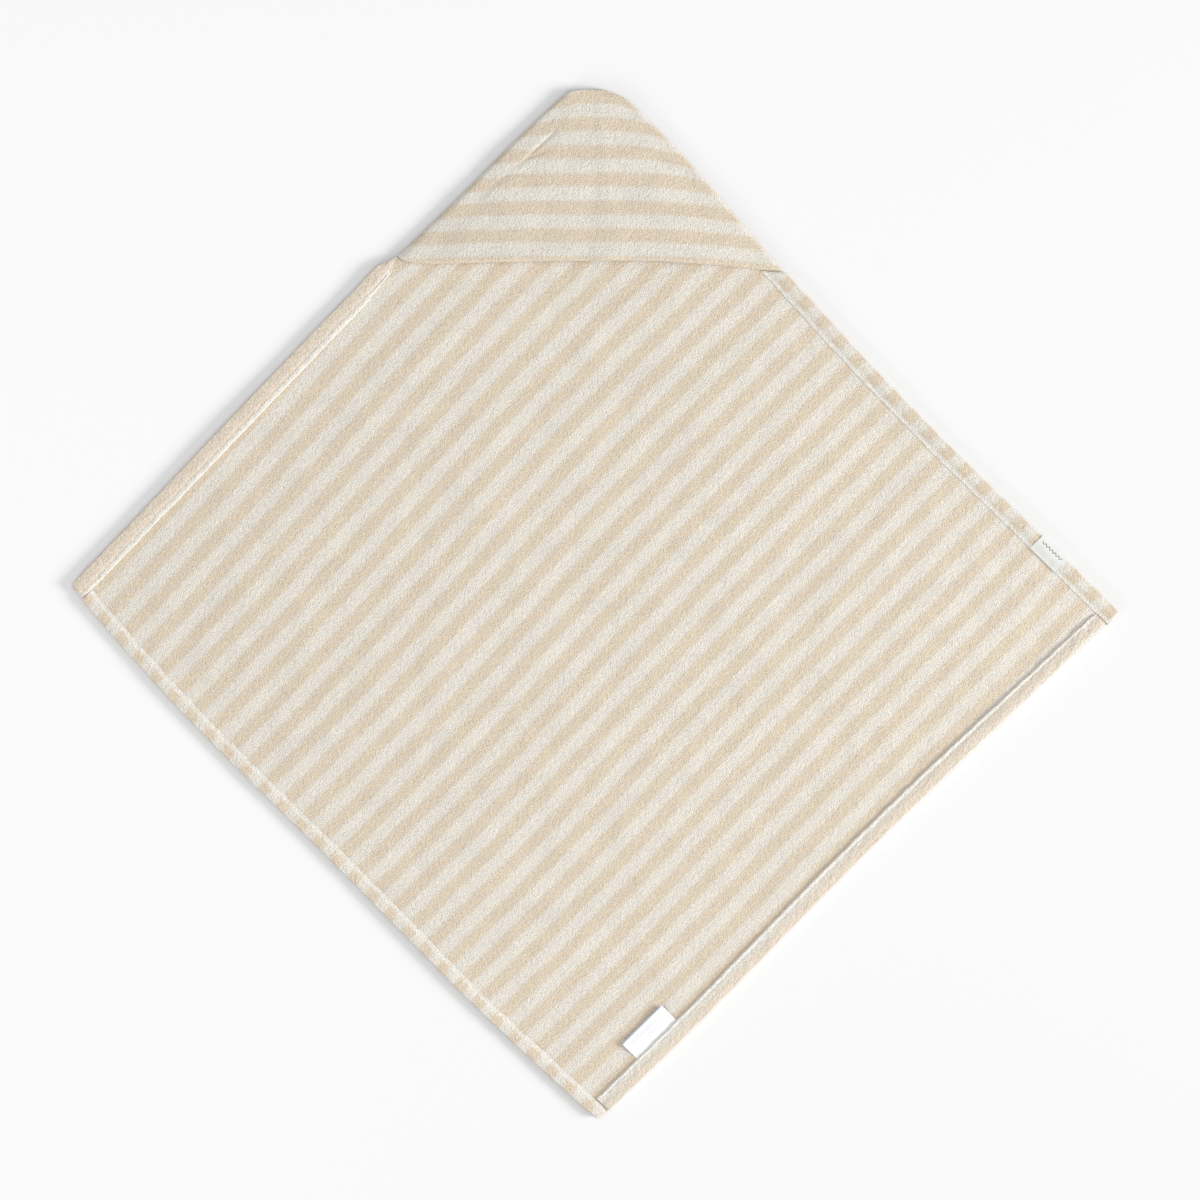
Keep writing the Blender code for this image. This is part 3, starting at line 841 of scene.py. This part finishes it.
def hem_piece(side, body, low, high, seed, noses):
    hem = HEMS[side]
    length = side_length(side)
    low, high = hem_reach(side, low, high)
    share = np.linspace(low, high, round((high - low) * length / HEM_STEP) + 1)
    run = share * length
    width, stitch = hem_width(side, share), stitch_reach(side, share)
    section = hem_profile(width, stitch, hem["flush"])
    reach, height = section[..., 0], section[..., 1]
    along = np.repeat(run[:, None], reach.shape[1], 1)
    size = hem["puckers"] * gathers(side, share)[:, None]
    above = np.clip((height - HEM_UNDER) / CLOTH, 0, 1)
    inner = np.clip(reach / width[:, None], 0, 1)
    slant = along + reach * 0.8
    pucker = soft_noise(slant, reach * 1.4, 0.0068, seed)
    pucker = pucker + 0.7 * soft_noise(slant, reach * 2, 0.0031, seed + 1)
    height = height + 0.00032 * size * pucker * above * (0.5 + inner)
    reach = reach + 0.00028 * size * soft_noise(along, height * 0, 0.0075, seed + 2) * (1 - inner)
    reach = reach + 0.00045 * size * soft_noise(along, height * 0, 0.0090, seed + 3) * inner ** 3
    rings = side_rings(side, share, reach, height, noses)
    place = np.dstack([section[..., 0] - stitch[:, None], width[:, None] - section[..., 0]])
    place = np.concatenate([place, place[:, :1]], 1)
    piece = tube(f"turned_hem_{side}_{body}", rings, hem_uv(side, share, section), place)
    dress(piece, HEM_TERRY[side])
    bend_at(piece, body)
    return piece


def gathers(side, share):
    """How much more a hem puckers where it is gathered: at the hood and the right corner."""
    if side == "upper_left":
        return 1 + 2.5 * smoothstep((share - 0.595) / 0.025)
    if side == "lower_right":
        return 1 + 1.0 * smoothstep((0.11 - share) / 0.05)
    return np.ones_like(share)


def on_side(side, share, reach):
    """Plan points in from a side's edge. The hood pulls in a hem's edge, not its inner line."""
    plan = side_point(side, share) - outward(side) * reach[..., None]
    if side.startswith("upper"):
        loose = np.clip(1 - reach / hem_width(side, share), 0, 1)
        plan = plan + edge_pull(side, share) * loose[..., None]
    return round_corners(plan)


def lean(side, share, reach):
    """Shares of a hem's points: where the upper right hem starts, it runs along the mouth."""
    share = np.broadcast_to(share[:, None], reach.shape)
    if side != "upper_right":
        return share
    run = (share - HEM_HALVES[side][0][1]) * side_length(side)
    return share - reach / side_length(side) * (1 - smoothstep(run / 0.035))


def side_rings(side, share, reach, height, noses=(0.0, 0.0)):
    """Places sections along a side, closing the ends that show over a nose's length."""
    middle_height = height.mean(1, keepdims=True)
    run = (share - share[0])[:, None] * side_length(side)
    nose, narrow = np.ones_like(run), np.ones_like(run)
    for size, distance in zip(noses, (run, run[-1] - run)):
        if size:
            nose = np.minimum(nose, 0.15 + 0.85 * rounded(distance, size))
        if size > 0.012:
            narrow = np.minimum(narrow, 0.25 + 0.75 * smoothstep(distance / size))
    reach = reach * narrow
    height = middle_height + (height - middle_height) * nose
    plan = on_side(side, lean(side, share, reach), reach)
    return np.dstack([plan, height + lift(plan[..., 0], plan[..., 1])])


def hem_uv(side, share, section):
    """Cloth metres on a hem: the stripes go round the fold, or run along with it."""
    steps = np.linalg.norm(np.diff(section, axis=1, append=section[:, :1]), axis=2)
    around = np.concatenate([np.zeros((len(share), 1)), np.cumsum(steps, 1)], 1)
    along = np.repeat((share * side_length(side))[:, None], around.shape[1], 1)
    if side == "upper_left":
        return np.dstack([(around - 0.0100) * 0.55, along])
    if side == "lower_right":
        beige_at = 0.0160 - 0.0065 * smoothstep(share / 0.7)
        return np.dstack([around - beige_at[:, None], along])
    reach = np.concatenate([section[..., 0], section[:, :1, 0]], 1)
    share = lean(side, share, reach)
    s, t = (1.0, share) if side == "upper_right" else (0.0, 1 - share)
    across = stripe_metres(s, t) + 0.12 * (around - around.mean())
    return np.dstack([across, around])


def stitches(name, points, up=1.0, radius=0.00030):
    """A row of thread stitches that dip into the cloth, one capsule each, along a line.

    up is 1 on a face that points up and -1 on one that points down.
    """
    length, sections, sides = STITCH, 9, 8
    run = run_along(points)
    at = np.arange(STITCH_GAP, run[-1] - length, length + STITCH_GAP) + length / 2
    centre, ahead = read_line(points, run, at), read_line(points, run, at + length / 2)
    up = np.tile([0.0, 0.0, up], (len(at), 1))
    way = (ahead - centre) / np.linalg.norm(ahead - centre, axis=1)[:, None]
    side = np.cross(up, way)
    lengthwise = np.linspace(-1, 1, sections)
    round_ = np.linspace(0, 2 * np.pi, sides, endpoint=False)
    thick = radius * np.sqrt(np.clip(1 - (np.abs(lengthwise) * 0.985) ** 3, 0, 1))
    dip = -1.1 * radius * np.abs(lengthwise) ** 2.5
    turn = np.sin(round_), np.cos(round_)
    rings = (
        centre[:, None, None]
        + way[:, None, None] * (lengthwise * length / 2)[:, None, None]
        + side[:, None, None] * (thick[:, None] * turn[0])[..., None]
        + up[:, None, None] * (thick[:, None] * turn[1] + dip[:, None])[..., None]
    )
    count = len(at)
    index = np.arange(count * sections * sides).reshape(count, sections, sides)
    closed = np.concatenate([index, index[..., :1]], 2)
    corners = closed[:, :-1, :-1], closed[:, 1:, :-1], closed[:, 1:, 1:], closed[:, :-1, 1:]
    quads = np.stack(corners, -1)
    cap = [0, 1, 2, 3], [0, 3, 4, 7], [4, 5, 6, 7]
    caps = [index[:, row][:, order] for row in (0, -1) for order in cap]
    faces = np.concatenate([quads.reshape(-1, 4), *caps])
    uv = np.stack(np.broadcast_arrays(
        (at[:, None] + lengthwise * length / 2)[..., None], (round_ * radius)[None, None]), -1)
    piece = mesh_object(name, rings.reshape(-1, 3), faces, uv.reshape(-1, 2))
    outward_faces(piece)
    dress(piece, THREAD)
    return piece


def hem_stitches(side, body, low, high):
    """Both faces of a hem's seam: on top in its groove and below on the towel's underside."""
    length = side_length(side)
    low, high = hem_reach(side, low, high)
    first, last = (0.6 * size / length for size in NOSES[side])
    low = low + (max(first, 0.004) if body == HEM_HALVES[side][0][0] else 0)
    high = high - (max(last, 0.004) if body == HEM_HALVES[side][1][0] else 0)
    share = np.linspace(low, high, 240)
    reach = stitch_reach(side, share)
    plan = on_side(side, share, reach)
    x, y = plan[:, 0], plan[:, 1]
    seam = hem_top(reach, hem_width(side, share), reach, HEMS[side]["flush"])
    parts = []
    for height, way in ((seam, 1.0), (CLOTH_LOW - 0.00005, -1.0)):
        points = np.column_stack([plan, lift(x, y) + height])
        parts.append(stitches(f"stitches_{side}_{body}", points, way, radius=0.00032))
    piece = joined(parts)
    bend_at(piece, body)
    return piece


def joined(parts):
    """Joins meshes into the first one."""
    first, *others = parts
    made = bmesh.new()
    for part in parts:
        made.from_mesh(part.data)
    made.to_mesh(first.data)
    made.free()
    first.data.shade_smooth()
    for part in others:
        bpy.data.objects.remove(part)
    return first


def hems_and_stitching():
    seed = 100
    for side, halves in HEM_HALVES.items():
        middle_half = halves[0][0] if side in ("upper_left", "lower_left") else halves[1][0]
        for number, (body, low, high) in enumerate(halves):
            seed += 10
            first, last = NOSES[side]
            noses = (first, 0.0) if number == 0 else (0.0, last)
            hem = hem_piece(side, body, low, high, seed, noses)
            seam = hem_stitches(side, body, low, high)
            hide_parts(f"hem_{side}_{body}")
            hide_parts(f"thread_{side}_{body}")
            if body == middle_half:
                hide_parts(f"hem_{side}_middle")
                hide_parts(f"thread_{side}_middle")


# The hood


def hood_plan(across, up):
    """The front panel's plan: across from the left edge to the right, up from mouth to tip."""
    left, right = curve_at(HOOD_LEFT_EDGE, up), curve_at(HOOD_RIGHT_EDGE, up)
    plan = left + (right - left) * across[..., None]
    mouth = curve_at(MOUTH, np.linspace(0, 1, 300))
    straight = curve_at([HOOD_LEFT_EDGE[0], HOOD_RIGHT_EDGE[0]], across)
    sag = np.interp(straight[..., 0], mouth[:, 0], mouth[:, 1]) - straight[..., 1]
    plan[..., 1] += sag * (1 - up) ** 3
    return plan


def pocket(across, up):
    """The gap under the front panel: none at the seams, largest and rippled at the mouth."""
    dome = 1 - np.abs(2 * across - 1) ** 2.4
    ripple = 1 + 0.14 * soft_noise(across * 0.38, up * 0, 0.026, 31)
    return 0.0004 + POCKET * dome * (1 - up) ** 1.2 * ripple


def hood_heights(across, up, plan):
    """Heights of the panel's underside and top, with both rolled in to the seam."""
    width = np.linalg.norm(plan[:, -1:] - plan[:, :1], axis=2)
    to_seam = np.minimum(across, 1 - across) * width * 0.72
    to_seam = np.minimum(to_seam, (1 - up) * HOOD_HEIGHT)
    gap, seam = pocket(across, up), SEAM_HEIGHT
    low = seam + (CLOTH - seam + GAP + gap) * rounded(to_seam, 0.0022)
    high = seam + (2 * CLOTH - seam + GAP + gap) * rounded(to_seam, 0.0042)
    return low, high


def open_with_hood(piece):
    """Bakes the transform of a piece of the hood with its opening into its mesh."""
    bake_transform(piece)


def crease(x, y, start, end, depth, width):
    """A short soft fold along a line: height 0 away from it."""
    start, end = np.array(start), np.array(end)
    run = end - start
    length = np.linalg.norm(run)
    along = ((x - start[0]) * run[0] + (y - start[1]) * run[1]) / length
    off = ((x - start[0]) * -run[1] + (y - start[1]) * run[0]) / length
    fade = smoothstep(along / 0.012 + 0.5) * smoothstep((length - along) / 0.012 + 0.5)
    return depth * fade * np.exp(-(off / width) ** 2), off, fade


HOOD_CREASES = [
    ((-0.070, 0.449), (-0.040, 0.477), -0.0013, 0.0016),
    ((-0.083, 0.441), (-0.050, 0.457), -0.0012, 0.0016),
    ((-0.118, 0.409), (-0.085, 0.436), -0.0006, 0.0030),
    ((0.060, 0.452), (0.112, 0.428), -0.0006, 0.0040),
]


def hood_front():
    shares_up = graded(HOOD_HEIGHT, first=0.0002, cell=HOOD_CELL)
    shares_across = graded(MOUTH_SPAN, first=0.0002, cell=HOOD_CELL * 1.3)
    up, across = np.meshgrid(shares_up, shares_across, indexing="ij")
    plan = hood_plan(across, up)
    x, y = plan[..., 0], plan[..., 1]
    low, high = hood_heights(across, up, plan)
    lip = rounded(up * HOOD_HEIGHT, LIP)
    open_cloth = smoothstep((high - low) / CLOTH * 2 - 1) * smoothstep(up * HOOD_HEIGHT / 0.006)
    relief = 0.0006 * soft_noise(x, y, 0.032, 41) + 0.0003 * soft_noise(x, y, 0.013, 42)
    shift = np.zeros_like(x)
    for start, end, depth, width in HOOD_CREASES:
        fold, off, fade = crease(x, y, start, end, depth, width)
        relief = relief + fold
        shift = shift + 0.0016 * fade * np.exp(-(off / 0.012) ** 2) * np.tanh(off / width)
    raised = lift(x, y)
    middle, half = (high + low) / 2, (high - low) / 2 * lip
    top = raised + middle + half + relief * open_cloth
    bottom = raised + middle - half
    uv = np.dstack([hood_stripe_metres(across, up, y) + shift, x])
    piece = shell("hood_front_cloth", plan, top, bottom, uv)
    dress(piece, TERRY)
    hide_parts("hood_front_panel")
    open_with_hood(piece)


def hood_stripe_metres(across, up, y):
    """Across the hood's stripes, which run level and drop towards both seams."""
    from_middle = 2 * across - 1
    drop_left = 0.003 + 0.006 * up
    drop = np.where(from_middle < 0, drop_left, 0.009) * np.abs(from_middle) ** 3
    return (y + drop - HOOD_STRIPE_Y) * STRIPE / HOOD_STRIPE


def mouth_hem():
    """The hood's turned-in mouth hem, a strip under the front panel's lip."""
    across = np.linspace(0.035, 0.965, 200)
    depth = graded(MOUTH_HEM, first=0.0002, cell=0.0012) * MOUTH_HEM - 0.0005
    up, across = np.meshgrid(depth / HOOD_HEIGHT, across, indexing="ij")
    inside = np.maximum(up, 0)
    plan = hood_plan(across, inside)
    plan[..., 1] += np.minimum(up, 0) * HOOD_HEIGHT
    gap = pocket(across, inside)
    thick = np.minimum(0.0020, gap * 0.55)
    high = lift(plan[..., 0], plan[..., 1]) + CLOTH + GAP + gap - 0.0002
    to_rim = np.minimum(depth[:, None] + 0.0005, 0.0120 - depth[:, None])
    to_end = np.minimum(across - across[:, :1], across[:, -1:] - across) * MOUTH_SPAN
    round_edge = rounded(np.minimum(np.maximum(to_rim, 0), to_end), 0.0010)
    middle = high - thick / 2
    uv = np.dstack([up * HOOD_HEIGHT - 0.002, plan[..., 0]])
    piece = shell("hood_mouth_hem_cloth", plan, middle + thick / 2 * round_edge,
                  middle - thick / 2 * round_edge, uv)
    dress(piece, MOUTH_TERRY)
    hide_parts("hood_mouth_hem")
    open_with_hood(piece)


def hood_stitching():
    across = np.linspace(0.05, 0.95, 300)
    up = np.full_like(across, 0.0118 / HOOD_HEIGHT)
    plan = hood_plan(across, up)
    height = lift(plan[:, 0], plan[:, 1]) + 2 * CLOTH + GAP + pocket(across, up) - 0.00005
    piece = stitches("stitches_hood_mouth", np.column_stack([plan, height]), radius=0.00026)
    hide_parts("thread_hood_mouth")
    open_with_hood(piece)
    for name, edge in (("left", HOOD_LEFT_EDGE), ("right", HOOD_RIGHT_EDGE)):
        line = curve_at(edge, np.linspace(0.02, 0.97, 200))
        aim = np.array([0.0, edge[0][1]]) - line
        line = line + aim / np.linalg.norm(aim, axis=1)[:, None] * 0.004
        height = lift(line[:, 0], line[:, 1]) + CLOTH_LOW - 0.00005
        seam = stitches(f"stitches_hood_seam_{name}", np.column_stack([line, height]), -1.0)
        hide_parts(f"thread_hood_seam_{name}")
        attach(seam, "hood_corner")


# Labels


def brand_tag():
    """A woven tag folded over the hem's edge, a little puckered."""
    side = "upper_right"
    length = side_length(side)
    along = np.linspace(0, TAG_LENGTH, 40)
    share = (TAG_START + along) / length
    turn = np.radians(np.linspace(180, 90, 7))
    outer = [(0.0006 - 0.0018, z) for z in (0.0012, 0.0022, 0.0032)]
    outer += [(0.0006 + 0.0018 * math.cos(a), 0.0046 + 0.0023 * math.sin(a)) for a in turn]
    hem = HEMS[side]
    inner = [(reach, 0.0005 + float(hem_top(reach, hem["middle"], hem["stitch"], hem["flush"])))
             for reach in np.linspace(0.0018, TAG_DEPTH, 16)]
    line = np.array(outer + inner)
    way = np.gradient(line, axis=0)
    way /= np.linalg.norm(way, axis=1)[:, None]
    off = np.column_stack([-way[:, 1], way[:, 0]])
    ring = np.concatenate([line + off * TAG_THICK / 2, (line - off * TAG_THICK / 2)[::-1]])
    reach = np.repeat(ring[None, :, 0], len(along), 0)
    height = np.repeat(ring[None, :, 1], len(along), 0)
    height = height + 0.00018 * soft_noise(along[:, None] + reach * 0, reach, 0.006, 51)
    rings = side_rings(side, share, reach, height)
    steps = np.linalg.norm(np.diff(ring, axis=0, append=ring[:1]), axis=1)
    around = np.concatenate([[0], np.cumsum(steps)])
    folded = np.minimum(around, around[-1] - around) - 0.0050
    uv = np.stack(np.broadcast_arrays(along[:, None], folded[None]), -1)
    piece = tube("brand_tag", rings, uv)
    dress(piece, TAG)
    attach(piece, "right_corner")
    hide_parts("brand_label")


def care_page(name, node, start_reach, end_reach, low, rise, material):
    """A loose page of the care label, sewn in at the hem and curling off the towel."""
    side = "lower_right"
    share = np.array([CARE_START, CARE_START + CARE_LENGTH]) / side_length(side)
    ends = side_point(side, share) - outward(side) * hem_width(side, share)[:, None]
    along = (ends[1] - ends[0]) / np.linalg.norm(ends[1] - ends[0])
    inward = np.array([along[1], -along[0]])
    shares = graded(CARE_LENGTH, first=0.0002, cell=0.0015)
    size = end_reach - start_reach
    depth = start_reach + graded(size, first=0.0002, cell=0.0012) * size
    u, v = np.meshgrid(shares, depth, indexing="ij")
    plan = ends[0] + along * (u * CARE_LENGTH)[..., None] + inward * v[..., None]
    x, y = plan[..., 0], plan[..., 1]
    curl = rise * np.clip(v / end_reach, 0, 1) ** 1.8 * (1 + 0.25 * np.sin(np.pi * (1.7 * u + 0.3)))
    height = lift(x, y) + low + curl
    to_rim = np.minimum(np.minimum(u, 1 - u) * CARE_LENGTH, np.minimum(v - start_reach, end_reach - v))
    thick = PAGE_HALF * rounded(to_rim, 0.0002)
    uv = np.dstack([u * CARE_LENGTH, v])
    piece = shell(name, plan, height + thick, height - thick, uv)
    dress(piece, material)
    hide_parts(node)
    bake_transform(piece)


def care_label():
    care_page("care_page_back", "care_label_back_page", -0.0004, 0.0224, 0.00335, 0.0018,
              BACK_PAGE)
    care_page("care_page_front", "care_label_front_page", 0.0021, 0.0210, 0.00385, 0.0026,
              FRONT_PAGE)


# The studio


def area_light(name, at, size, power):
    data = bpy.data.lights.new(name, "AREA")
    data.shape = "RECTANGLE"
    data.size, data.size_y = size
    data.energy = power
    light = linked(name, data)
    light.location = at
    light.rotation_euler = (-Vector(at)).to_track_quat("-Z", "Y").to_euler()


def studio():
    bpy.ops.mesh.primitive_plane_add(size=12, location=(0, 0, -0.0001))
    floor = bpy.context.object
    floor.name = "floor"
    paper = Recipe("paper")
    place = paper.add("TexCoord", output=3)
    grain = paper.noise(place, 0.004)
    x, y = paper.split(place)
    # Painted shade: the floor is painted darker towards the key light, along x less a little of y, so
    # that the key light's falloff doesn't show on it
    across = paper.calc("SUBTRACT", x, paper.times(y, 0.44))
    across = paper.ramp(across, -0.9, 0.9, smooth=False)
    color = paper.mix(across, (0.908, 0.903, 0.898, 1), (0.730, 0.727, 0.724, 1))
    floor.data.materials.append(paper.finish(color, grain, 0.00002, 0.9, 0.0))
    world = bpy.data.worlds.new("studio")
    bpy.context.scene.world = world
    world.use_nodes = True
    sky = world.node_tree.nodes["Background"]
    sky.inputs["Color"].default_value = (0.955, 0.975, 1.0, 1.0)
    sky.inputs["Strength"].default_value = 0.50
    area_light("key", (5.0, -0.8, 2.2), (2.2, 1.6), 288)
    area_light("fill", (-2.6, -3.0, 1.8), (1.6, 1.6), 48)
    area_light("overhead", (0.2, 0.2, 3.6), (3.4, 3.4), 37)
    bpy.context.scene.view_settings.view_transform = "Standard"


def camera():
    """Straight above the towel, at the distance where the photo's width fills the frame."""
    data = bpy.data.cameras.new("camera")
    data.lens, data.sensor_width = 85, 36
    view = linked("camera", data)
    view.location = (0.0046, 0.0030, PHOTO_WIDTH * data.lens / data.sensor_width)
    bpy.context.scene.camera = view


camera()
studio()
towel_cloth()
hems_and_stitching()
hood_front()
mouth_hem()
hood_stitching()
brand_tag()
care_label()
